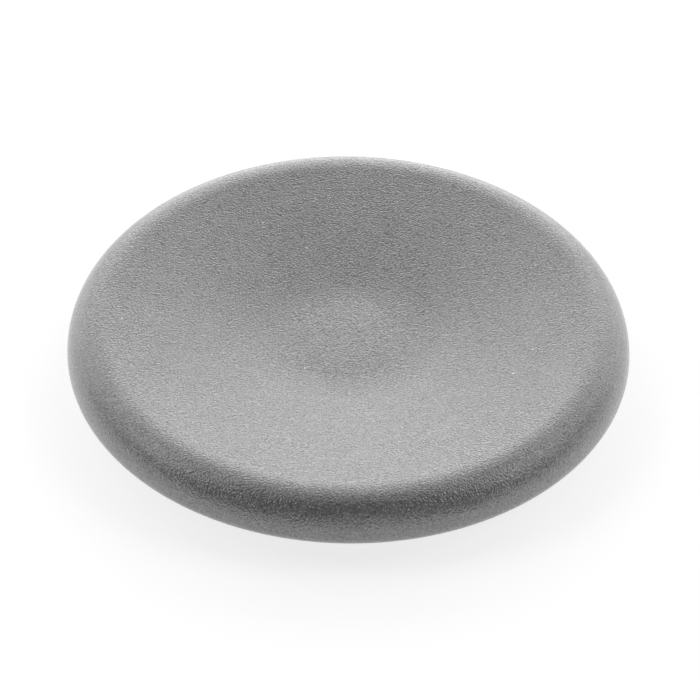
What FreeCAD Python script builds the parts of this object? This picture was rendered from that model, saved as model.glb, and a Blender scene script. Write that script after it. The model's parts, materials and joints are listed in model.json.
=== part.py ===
import FreeCAD, Part
import math
import os

# Gas burner cap: one cast disc, turned about +Z, standing on its locating collar at z = 0.
# Driving sizes in millimetres.
cap_diameter = 75.0
rim_height = 6.5           # burner seat up to the crest of the rim
crest_inset = 4.4          # crest circle, in from the outer edge
crest_round = 7.0          # slow round over the top of the rim
crest_reach = 0.85         # the crest's round, outwards from the crest circle
shoulder_round = 3.3       # tighter round from the crest to the outer wall
lower_round = 1.8          # round from the outer wall to the burner seat
dish_depth = 3.6           # crest down to the floor of the dish
floor_diameter = 14.0      # flat middle of the dish
floor_blend = 36.0         # slow round from the floor into the cone
dish_wall = 2.5            # metal between the dish and the hollow below it
collar_diameter = 48.0     # outside of the locating collar, which drops into the burner crown
collar_wall = 2.5
collar_drop = 4.0          # collar below the burner seat
collar_lead_in = 0.7       # chamfer on both lower edges of the collar

# Radii and heights that follow from the driving sizes.
cap_radius = cap_diameter / 2
crest_radius = cap_radius - crest_inset
floor_radius = floor_diameter / 2
collar_outer = collar_diameter / 2
collar_inner = collar_outer - collar_wall
seat_height = collar_drop
crest_height = seat_height + rim_height
floor_height = crest_height - dish_depth
hollow_height = floor_height - dish_wall
hollow_blend = floor_blend + dish_wall


def point(radius, height):
    return FreeCAD.Vector(radius, 0, height)


def on_round(centre, radius, degrees):
    angle = math.radians(degrees)
    return centre + point(radius * math.cos(angle), radius * math.sin(angle))


class Outline:
    # A half section drawn from point to point, in the plane of radius and height.
    def __init__(self, start):
        self.start = start
        self.here = start
        self.edges = []

    def line_to(self, end):
        if not self.here.isEqual(end, 1e-6):
            self.edges.append(Part.LineSegment(self.here, end).toShape())
        self.here = end

    def round(self, centre, radius, start, end):
        first, middle, last = [on_round(centre, radius, a) for a in (start, (start + end) / 2, end)]
        self.line_to(first)
        self.edges.append(Part.Arc(first, middle, last).toShape())
        self.here = last

    def turned(self):
        self.line_to(self.start)
        face = Part.Face(Part.Wire(self.edges))
        return face.revolve(FreeCAD.Vector(0, 0, 0), FreeCAD.Vector(0, 0, 1), 360)


def cone_slope(floor_centre, crest_centre):
    # The cone is the straight line that touches the floor's round from below and the crest's from above.
    span = crest_centre - floor_centre
    return math.degrees(math.atan2(span.z, span.x) + math.asin((floor_blend + crest_round) / span.Length))


def crest_handover():
    # The crest's round hands over to the shoulder's at this lean, where both have the same tangent.
    return math.degrees(math.asin(crest_reach / crest_round))


def outer_wall(shoulder_centre, lower_centre):
    # The outer wall is one slow round, from the shoulder's round to the lower round, with no kink at either.
    across = cap_radius - shoulder_round - shoulder_centre.x
    down = shoulder_centre.z - lower_centre.z
    lean = 90 - 2 * math.degrees(math.atan2(across, down))
    return lean, shoulder_round + down / math.cos(math.radians(lean))


def hollow_corner(floor_centre, slope):
    # Where the sloping roof of the hollow, at an even wall below the dish, meets the collar.
    angle = math.radians(slope)
    reach = (collar_inner - floor_centre.x) * math.sin(angle)
    return point(collar_inner, floor_centre.z + (reach - hollow_blend) / math.cos(angle))


def burner_cap():
    floor_centre = point(floor_radius, floor_height + floor_blend)
    crest_centre = point(crest_radius, crest_height - crest_round)
    slope = cone_slope(floor_centre, crest_centre)
    crest_end = crest_handover()
    shoulder_centre = on_round(crest_centre, crest_round - shoulder_round, 90 - crest_end)
    lower_centre = point(cap_radius - lower_round, seat_height + lower_round)
    shoulder_end, wall_round = outer_wall(shoulder_centre, lower_centre)
    wall_centre = point(cap_radius - wall_round, lower_centre.z)

    section = Outline(point(0, floor_height))
    # Dish and rim, from the middle outwards.
    section.round(floor_centre, floor_blend, 270, 270 + slope)
    section.round(crest_centre, crest_round, 90 + slope, 90 - crest_end)
    section.round(shoulder_centre, shoulder_round, 90 - crest_end, 90 - shoulder_end)
    section.round(wall_centre, wall_round, 90 - shoulder_end, 0)
    section.round(lower_centre, lower_round, 0, -90)
    # Burner seat and locating collar.
    section.line_to(point(collar_outer, seat_height))
    section.line_to(point(collar_outer, collar_lead_in))
    section.line_to(point(collar_outer - collar_lead_in, 0))
    section.line_to(point(collar_inner + collar_lead_in, 0))
    section.line_to(point(collar_inner, collar_lead_in))
    # Hollow inside the collar, back to the axis.
    section.line_to(hollow_corner(floor_centre, slope))
    section.round(floor_centre, hollow_blend, 270 + slope, 270)
    section.line_to(point(0, hollow_height))
    return section.turned()


os.makedirs("parts", exist_ok=True)
cap = burner_cap()
cap.exportStep("parts/burner_cap.step")
print("burner_cap valid:", cap.isValid(), "volume mm3:", round(cap.Volume, 1))
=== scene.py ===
import json
import math

import bmesh
import bpy
from mathutils import Matrix, Vector, noise


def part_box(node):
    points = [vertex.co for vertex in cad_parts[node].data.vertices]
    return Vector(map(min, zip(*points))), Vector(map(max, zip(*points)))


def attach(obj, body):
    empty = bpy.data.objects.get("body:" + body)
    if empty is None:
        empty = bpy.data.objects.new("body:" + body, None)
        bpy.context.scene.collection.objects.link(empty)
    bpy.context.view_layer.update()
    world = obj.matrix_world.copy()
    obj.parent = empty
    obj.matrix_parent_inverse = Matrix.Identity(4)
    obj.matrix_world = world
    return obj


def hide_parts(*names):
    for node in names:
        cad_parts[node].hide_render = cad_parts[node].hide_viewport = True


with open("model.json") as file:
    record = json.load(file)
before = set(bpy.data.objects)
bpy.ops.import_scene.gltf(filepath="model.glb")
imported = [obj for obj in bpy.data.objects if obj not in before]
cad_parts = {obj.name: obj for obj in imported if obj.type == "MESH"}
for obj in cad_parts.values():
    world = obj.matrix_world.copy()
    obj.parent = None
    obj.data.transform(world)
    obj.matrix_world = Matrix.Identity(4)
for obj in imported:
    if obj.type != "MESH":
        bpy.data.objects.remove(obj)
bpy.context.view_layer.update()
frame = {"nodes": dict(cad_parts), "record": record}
mounts = {mount["name"]: mount for mount in frame["record"]["mounts"]}
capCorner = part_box("burner_cap")[1]
capRadius = capCorner.x
capHeight = capCorner.z
print("frame loaded:", sorted(frame["nodes"]))


# Shader maths: a Wire is one output socket, and expressions on wires add the nodes
class Wire:
    def __init__(self, graph, socket):
        self.graph = graph
        self.socket = socket

    def maths(self, operation, first, second):
        return self.graph.add("Math", {"operation": operation}, {0: first, 1: second})

    def __add__(self, other):
        return self.maths("ADD", self, other)

    def __radd__(self, other):
        return self.maths("ADD", other, self)

    def __sub__(self, other):
        return self.maths("SUBTRACT", self, other)

    def __rsub__(self, other):
        return self.maths("SUBTRACT", other, self)

    def __mul__(self, other):
        return self.maths("MULTIPLY", self, other)

    def __rmul__(self, other):
        return self.maths("MULTIPLY", other, self)

    def __lt__(self, other):
        return self.maths("LESS_THAN", self, other)

    def __gt__(self, other):
        return self.maths("GREATER_THAN", self, other)


class Graph:
    def __init__(self, owner):
        owner.use_nodes = True
        self.tree = owner.node_tree
        self.tree.nodes.clear()

    def add(self, kind, settings, sockets, out=0):
        node = self.tree.nodes.new("ShaderNode" + kind)
        for name, value in settings.items():
            setattr(node, name, value)
        for name, value in sockets.items():
            if isinstance(value, Wire):
                self.tree.links.new(value.socket, node.inputs[name])
            else:
                node.inputs[name].default_value = value
        return Wire(self, node.outputs[out]) if len(node.outputs) else node


def grey(value):
    return (value, value, value, 1.0)


def mixTones(graph, factor, first, second):
    # A Mix node's colour sockets come after those for numbers and vectors
    return graph.add("Mix", {"data_type": "RGBA"}, {0: factor, 6: first, 7: second}, out=2)


def swing(texture, amount):
    return (texture - 0.5) * amount  # a noise texture runs to both sides of a half


def fade(graph, value, ends, start, end):
    return graph.add("MapRange", {"interpolation_type": "SMOOTHSTEP"}, {
        "Value": value, "From Min": ends[0], "From Max": ends[1], "To Min": start, "To Max": end})


# Camera: a long lens, looking down at the cap from the front
shot = {
    "elevation": 40.68,  # degrees above the horizon
    "distance": 0.600,
    "pixels": 700,
    "pixelsPerRadius": 282.3,  # size of the cap's radius in the picture
    "crestAt": (348.83, 319.25),  # where the middle of the crest circle falls
    "roll": 0.74,  # degrees
    "sensor": 36.0,
    "clip": (0.01, 20.0),
}


def placeCamera():
    data = bpy.data.cameras.new("photoCamera")
    camera = bpy.data.objects.new("photoCamera", data)
    bpy.context.scene.collection.objects.link(camera)
    focalPixels = shot["pixelsPerRadius"] * shot["distance"] / capRadius
    data.sensor_width = shot["sensor"]
    data.lens = focalPixels * shot["sensor"] / shot["pixels"]
    data.clip_start, data.clip_end = shot["clip"]

    tilt = math.radians(shot["elevation"])
    back = Vector((0, -math.cos(tilt), math.sin(tilt)))
    crest = Vector((0, 0, capHeight))
    camera.location = crest + back * shot["distance"]
    right = Vector((1, 0, 0))
    up = back.cross(right)
    half = shot["pixels"] / 2
    offX = (shot["crestAt"][0] - half) / focalPixels * shot["distance"]
    offY = (half - shot["crestAt"][1]) / focalPixels * shot["distance"]
    roll = math.radians(shot["roll"])
    sideways = offX * math.cos(roll) - offY * math.sin(roll)
    upward = offX * math.sin(roll) + offY * math.cos(roll)
    target = crest - right * sideways - up * upward
    look = (target - camera.location).to_track_quat("-Z", "Y").to_matrix()
    camera.rotation_mode = "QUATERNION"
    camera.rotation_quaternion = (look @ Matrix.Rotation(roll, 3, "Z")).to_quaternion()
    bpy.context.scene.camera = camera
    print("camera lens in mm:", round(data.lens, 1))


# Cap: one turned form, drawn as a half section of straight runs and rounds
capForm = {
    "crestInset": 0.0044,
    "crestRound": 0.0070,
    "crestReach": 0.00085,  # how far out the crest's round goes before the shoulder takes over
    "shoulderRound": 0.0033,
    "lowerRound": 0.0018,
    "dishDepth": 0.0036,
    "floorRadius": 0.0070,
    "floorBlend": 0.0360,
    "dishWall": 0.0025,
    "collarWall": 0.0025,
    "leadIn": 0.0007,
    "edgeSoftening": 0.00025,  # enamel rounds the sharp edges underneath
    "rootSoftening": 0.0005,  # and fills their inside corners
    "topStep": 0.00032,  # mesh spacing on the dish and rim
    "underStep": 0.00060,
    "arcStep": 12.0,  # degrees, the most that one edge turns
    "ringMultiple": 6,  # the points of a ring come in sixes
    "samePlace": 1e-7,  # points nearer than this are one
    "peel": [(0.0040, 0.000012), (0.0014, 0.000006)],  # width and height of the enamel's unevenness
}


def arcPoints(centre, radius, start, end, step):
    turn = math.radians(abs(end - start))
    count = max(math.ceil(turn * radius / step), math.ceil(abs(end - start) / capForm["arcStep"]), 1)
    angles = [math.radians(start + (end - start) * i / count) for i in range(count + 1)]
    return [centre + Vector((math.cos(a), math.sin(a))) * radius for a in angles]


def softCorner(before, corner, after, radius, step):
    toBefore = (before - corner).normalized()
    toAfter = (after - corner).normalized()
    half = toBefore.angle(toAfter) / 2
    centre = corner + (toBefore + toAfter).normalized() * (radius / math.sin(half))
    first = corner + toBefore * (radius / math.tan(half)) - centre
    last = corner + toAfter * (radius / math.tan(half)) - centre
    start = math.degrees(math.atan2(first.y, first.x))
    turn = (math.degrees(math.atan2(last.y, last.x)) - start + 180) % 360 - 180
    return arcPoints(centre, radius, start, start + turn, step)


def joined(runs, step):
    # Straight gaps between the runs are filled with evenly spaced points
    points = list(runs[0])
    for run in runs[1:]:
        gap = run[0] - points[-1]
        count = math.ceil(gap.length / step)
        points += [points[-1] + gap * i / count for i in range(1, count)]
        points += run if gap.length > capForm["samePlace"] else run[1:]
    return points


def capSection():
    form = capForm
    seat = mounts["burner_seat"]["pos_m"][2]
    collarOut = mounts["locating_collar"]["dims"]["r_mm"] / 1000
    collarIn = collarOut - form["collarWall"]
    floorAt = capHeight - form["dishDepth"]
    floorMid = Vector((form["floorRadius"], floorAt + form["floorBlend"]))
    crestMid = Vector((capRadius - form["crestInset"], capHeight - form["crestRound"]))
    # The cone of the dish touches the floor's round from below and the crest's from above
    span = crestMid - floorMid
    slope = math.atan2(span.y, span.x) + math.asin((form["floorBlend"] + form["crestRound"]) / span.length)
    crestEnd = math.asin(form["crestReach"] / form["crestRound"])
    roundsApart = form["crestRound"] - form["shoulderRound"]
    shoulderMid = crestMid + Vector((math.sin(crestEnd), math.cos(crestEnd))) * roundsApart
    lowerMid = Vector((capRadius - form["lowerRound"], seat + form["lowerRound"]))
    # The wall's slow round is the one that runs from the shoulder to the lower round without a kink
    wallSpan = Vector((capRadius - form["shoulderRound"], lowerMid.y)) - shoulderMid
    shoulderEnd = math.pi / 2 - 2 * math.atan2(wallSpan.x, -wallSpan.y)
    wallRound = form["shoulderRound"] - wallSpan.y / math.cos(shoulderEnd)
    wallMid = Vector((capRadius - wallRound, lowerMid.y))
    slopeDeg, crestDeg, shoulderDeg = [math.degrees(a) for a in (slope, crestEnd, shoulderEnd)]

    # Dish and rim, from the middle outwards
    topStep = form["topStep"]
    top = joined([
        [Vector((0, floorAt))],
        arcPoints(floorMid, form["floorBlend"], 270, 270 + slopeDeg, topStep),
        arcPoints(crestMid, form["crestRound"], 90 + slopeDeg, 90 - crestDeg, topStep),
        arcPoints(shoulderMid, form["shoulderRound"], 90 - crestDeg, 90 - shoulderDeg, topStep),
        arcPoints(wallMid, wallRound, 90 - shoulderDeg, 0, topStep),
        arcPoints(lowerMid, form["lowerRound"], 0, -90, topStep),
    ], topStep)

    # Seat, collar and hollow, back to the axis
    underStep = form["underStep"]
    roofRound = form["floorBlend"] + form["dishWall"]
    roof = arcPoints(floorMid, roofRound, 270 + slopeDeg, 270, underStep)
    rise = ((collarIn - floorMid.x) * math.sin(slope) - roofRound) / math.cos(slope)
    corners = [
        (Vector((collarOut, seat)), form["rootSoftening"]),
        (Vector((collarOut, form["leadIn"])), form["edgeSoftening"]),
        (Vector((collarOut - form["leadIn"], 0)), form["edgeSoftening"]),
        (Vector((collarIn + form["leadIn"], 0)), form["edgeSoftening"]),
        (Vector((collarIn, form["leadIn"])), form["edgeSoftening"]),
        (Vector((collarIn, floorMid.y + rise)), form["rootSoftening"]),
    ]
    stops = [top[-1]] + [corner for corner, soft in corners] + [roof[0]]
    rounds = [softCorner(stops[i], corner, stops[i + 2], soft, underStep)
              for i, (corner, soft) in enumerate(corners)]
    under = joined([[top[-1]]] + rounds + [roof, [Vector((0, floorAt - form["dishWall"]))]], underStep)
    return top, under[1:]


def ringVerts(mesh, point, step):
    if point.x < capForm["samePlace"]:
        return [mesh.verts.new((0, 0, point.y))]
    multiple = capForm["ringMultiple"]
    count = multiple * max(round(2 * math.pi * point.x / step / multiple), 1)
    angles = [2 * math.pi * i / count for i in range(count)]
    return [mesh.verts.new((point.x * math.cos(a), point.x * math.sin(a), point.y)) for a in angles]


def zipRings(mesh, inner, outer):
    # Walks round both rings in step; a lone point is the axis
    innerEnd = len(inner) if len(inner) > 1 else 0
    outerEnd = len(outer) if len(outer) > 1 else 0
    i = 0
    j = 0
    while i < innerEnd or j < outerEnd:
        a = inner[i % len(inner)]
        b = outer[j % len(outer)]
        if i == innerEnd or (j < outerEnd and (j + 1) * len(inner) <= (i + 1) * len(outer)):
            mesh.faces.new((a, b, outer[(j + 1) % len(outer)]))
            j += 1
        else:
            mesh.faces.new((a, b, inner[(i + 1) % len(inner)]))
            i += 1


def peelDepth(place):
    depth = 0.0
    for width, height in capForm["peel"]:
        depth += height * (0.5 + 0.5 * noise.noise(place / width))
    return depth


def buildCap():
    top, under = capSection()
    mesh = bmesh.new()
    rings = [ringVerts(mesh, point, capForm["topStep"]) for point in top]
    rings += [ringVerts(mesh, point, capForm["underStep"]) for point in under]
    for inner, outer in zip(rings, rings[1:]):
        zipRings(mesh, inner, outer)
    bmesh.ops.recalc_face_normals(mesh, faces=mesh.faces)
    mesh.normal_update()
    for vert in mesh.verts:
        vert.co -= vert.normal * peelDepth(vert.co)  # inwards only, so the cap keeps its size
    for face in mesh.faces:
        face.smooth = True
    data = bpy.data.meshes.new("enamelledCap")
    mesh.to_mesh(data)
    mesh.free()
    cap = bpy.data.objects.new("enamelledCap", data)
    bpy.context.scene.collection.objects.link(cap)
    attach(cap, "root")
    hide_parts("burner_cap")
    print("cap mesh:", len(data.vertices), "points,", len(data.polygons), "faces")
    return cap


# Enamel: matt and finely pebbled under a clear coat, with painted shade in the pebbles' hollows and
# painted light on their tops, a little mottled, with a few pale specks
enamel = {
    "tone": 0.33,
    "metallic": 0.3,
    "roughness": 0.28,
    "roughnessSwing": 0.06,
    "coatWeight": 1.0,
    "coatRoughness": 0.34,
    "pebbleScale": 4130.0,  # per metre, as are the other scales
    "pebbleHeight": 0.00012,
    "pebbleShadeContrast": 0.6,  # painted shade in the pebbles' hollows, painted light on their tops
    "mottleScale": 140.0,
    "mottleDetail": 3.0,
    "mottleRoughness": 0.6,
    "mottleContrast": 0.12,
    "speckScale": 330.0,
    "speckSize": 0.05,  # radius, as a share of the space between the places for one
    "speckShare": 0.2,  # of those places that have one
    "speckTone": 0.75,
}


def enamelMaterial():
    material = bpy.data.materials.new("pebbledEnamel")
    graph = Graph(material)
    place = graph.add("TexCoord", {}, {}, out="Object")
    pebble = graph.add("TexNoise", {}, {"Vector": place, "Scale": enamel["pebbleScale"], "Detail": 0.0})
    mottle = graph.add("TexNoise", {}, {
        "Vector": place, "Scale": enamel["mottleScale"],
        "Detail": enamel["mottleDetail"], "Roughness": enamel["mottleRoughness"]})

    # Half way from black to twice the tone is the tone itself
    # The pebble noise paints shade into its hollows and light onto its tops; the mottle is the enamel's
    # own uneven tone
    pebbleShadeAndMottle = swing(pebble, enamel["pebbleShadeContrast"]) + swing(mottle, enamel["mottleContrast"])
    tone = mixTones(graph, 0.5 + pebbleShadeAndMottle, grey(0.0), grey(2 * enamel["tone"]))
    cells = {"Vector": place, "Scale": enamel["speckScale"]}
    spread = graph.add("TexVoronoi", {}, cells, out="Distance")
    pick = graph.add("SeparateColor", {}, {0: graph.add("TexVoronoi", {}, cells, out="Color")})
    speck = (spread < enamel["speckSize"]) * (pick < enamel["speckShare"])
    tone = mixTones(graph, speck, tone, grey(enamel["speckTone"]))

    bump = graph.add("Bump", {}, {"Strength": 1.0, "Distance": enamel["pebbleHeight"], "Height": pebble})
    surface = graph.add("BsdfPrincipled", {}, {
        "Base Color": tone,
        "Metallic": enamel["metallic"],
        "Roughness": enamel["roughness"] + swing(mottle, enamel["roughnessSwing"]),
        "Coat Weight": enamel["coatWeight"],
        "Coat Roughness": enamel["coatRoughness"],
        "Normal": bump,
    })
    graph.add("OutputMaterial", {}, {"Surface": surface})
    print("enamel:", len(graph.tree.nodes), "nodes")
    return material


# Studio: white floor up to the horizon, broad lights behind and beside, a small one in front, dark above
studio = {
    "floorSize": 6.0,
    "floorDrop": 0.00005,  # keeps the floor clear of the collar
    "floorTone": 0.5,
    "floorGlow": 0.75,  # lifts the lit floor to white, and leaves the shadow on it
    "farFloor": (0.4, 1.1),  # distances over which the glow rises to white, as the lamps' light runs out
    "horizon": (0.03, 0.10),  # the white over the floor fades out between these, as sines of the angle up
    "lampDistance": 1.0,
    "lamps": [
        # name, degrees round from the back, degrees up, width, height, brightness
        ("backLow", [0], 8, 0.75, 0.28, 2.45),
        ("backHigh", [0], 31, 0.75, 0.55, 1.61),
        ("backTop", [0], 72, 0.6, 0.8, 0.21),
        ("backSide", [-44, 44], 22, 0.66, 0.75, 1.25),
        ("backSideHigh", [-50, 50], 54, 0.4, 0.3, 0.82),
        ("side", [-96, 96], 40, 0.45, 0.55, 1.98),
        ("sideLow", [-74, 74], 12, 0.4, 0.3, 0.25),
        ("sideHigh", [-75, 75], 66, 0.5, 0.4, 0.58),
        ("front", [172], 20, 0.5, 0.2, 1.73),
    ],
}


def seenRays(graph):
    rays = ("Is Camera Ray", "Is Glossy Ray", "Is Transmission Ray")
    camera, glossy, through = [graph.add("LightPath", {}, {}, out=ray) for ray in rays]
    return camera + glossy + through


def buildFloor():
    size = studio["floorSize"] / 2
    data = bpy.data.meshes.new("whiteFloor")
    corners = [(x * size, y * size, -studio["floorDrop"]) for x, y in ((-1, -1), (1, -1), (1, 1), (-1, 1))]
    data.from_pydata(corners, [], [(0, 1, 2, 3)])
    floor = bpy.data.objects.new("whiteFloor", data)
    bpy.context.scene.collection.objects.link(floor)
    material = bpy.data.materials.new("whiteSweep")
    material.cycles.emission_sampling = "NONE"  # no light is sampled from the glow
    graph = Graph(material)
    place = graph.add("TexCoord", {}, {}, out="Object")
    distance = graph.add("VectorMath", {"operation": "LENGTH"}, {0: place}, out="Value")
    level = fade(graph, distance, studio["farFloor"], studio["floorGlow"], 1.0)
    matt = graph.add("BsdfDiffuse", {}, {"Color": grey(studio["floorTone"])})
    glow = graph.add("Emission", {}, {"Color": level, "Strength": 1.0})
    lit = graph.add("AddShader", {}, {0: matt, 1: glow})
    both = graph.add("MixShader", {}, {0: seenRays(graph), 1: matt, 2: lit})
    graph.add("OutputMaterial", {}, {"Surface": both})
    data.materials.append(material)
    print("floor:", studio["floorSize"], "m wide")


def placeLamp(name, azimuth, elevation, width, height, brightness):
    data = bpy.data.lights.new(name, "AREA")
    data.shape = "RECTANGLE"
    data.size = width
    data.size_y = height
    data.energy = math.pi * width * height * brightness  # by area, so a larger lamp looks no brighter
    lamp = bpy.data.objects.new(name, data)
    bpy.context.scene.collection.objects.link(lamp)
    turn = math.radians(azimuth)
    lift = math.radians(elevation)
    away = Vector((math.sin(turn) * math.cos(lift), math.cos(turn) * math.cos(lift), math.sin(lift)))
    lamp.location = away * studio["lampDistance"]
    lamp.rotation_mode = "QUATERNION"
    lamp.rotation_quaternion = away.to_track_quat("Z", "Y")


def buildLights():
    for name, azimuths, *setting in studio["lamps"]:
        for azimuth in azimuths:
            placeLamp(name, azimuth, *setting)
    print("lamps:", [lamp[0] for lamp in studio["lamps"]])


def buildRoom():
    world = bpy.data.worlds.new("studioRoom")
    world.cycles.sampling_method = "NONE"
    bpy.context.scene.world = world
    graph = Graph(world)
    rise = graph.add("SeparateXYZ", {}, {0: graph.add("TexCoord", {}, {}, out="Generated")}, out="Z")
    horizon = fade(graph, rise, studio["horizon"], 1.0, 0.0)
    dark = graph.add("Background", {}, {"Color": grey(0.0), "Strength": 1.0})
    white = graph.add("Background", {}, {"Color": grey(1.0), "Strength": 1.0})
    room = graph.add("MixShader", {}, {0: seenRays(graph) * horizon, 1: dark, 2: white})
    graph.add("OutputWorld", {}, {"Surface": room})
    print("room: white up to the horizon")


bpy.context.scene.view_settings.view_transform = "Standard"
cap = buildCap()
cap.data.materials.append(enamelMaterial())
placeCamera()
buildFloor()
buildLights()
buildRoom()
